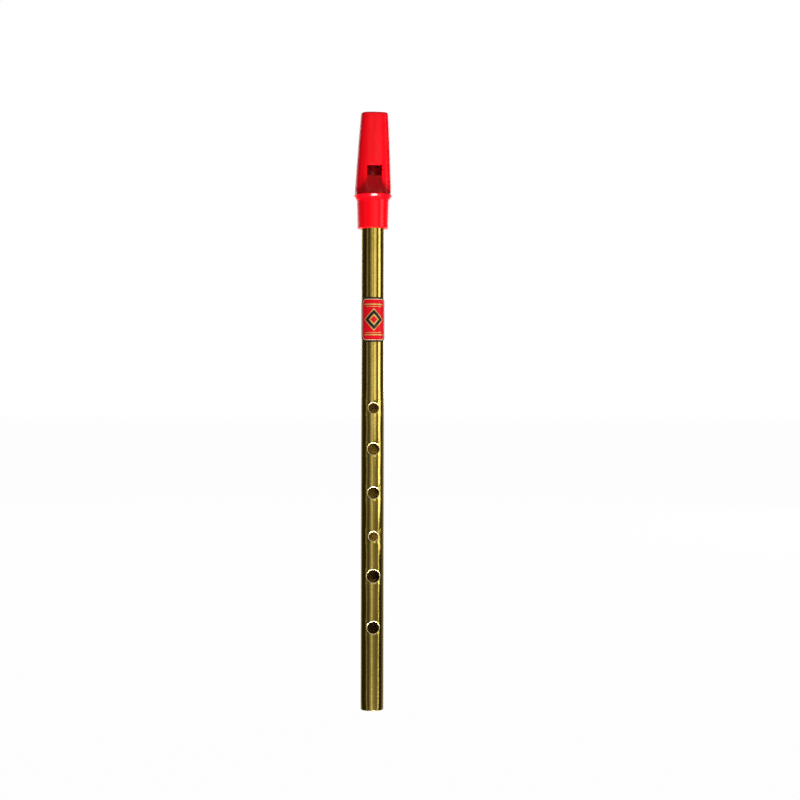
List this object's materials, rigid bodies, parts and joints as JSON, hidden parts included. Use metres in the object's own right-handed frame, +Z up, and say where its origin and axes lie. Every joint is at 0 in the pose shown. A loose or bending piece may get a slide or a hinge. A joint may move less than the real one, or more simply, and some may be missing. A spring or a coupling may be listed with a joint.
{
  "type": "flageolet",
  "caption": "Straight metal duct flute: thin brass tube with finger holes down the front, plastic beak mouthpiece with window and ramp on a tuning slide, plain printed label.",
  "frame": {"origin": "centre of the foot, the open lower end of the tube, where the whistle stands", "axes": "+Z up along the tube to the mouthpiece; the finger holes and the window face -Y; +X to the right seen from the front"},
  "size_m": [0.019, 0.019, 0.3],
  "materials": {
    "tube_brass": "drawn tube, lacquered, dulled to olive, fine lengthwise grain",
    "red_plastic": "glossy moulded, bright red",
    "label_print": "printed film, red with a black edge and gold lines"
  },
  "bodies": {
    "tube": {"tube": "tube_brass", "label": "label_print"},
    "mouthpiece": {"mouthpiece": "red_plastic", "fipple_plug": "red_plastic"}
  },
  "joints": [
    {"name": "tuning_slide", "type": "slide", "parent": "tube", "child": "mouthpiece", "axis": [0, 0, 1], "range_m": [0, 0.01]}
  ]
}
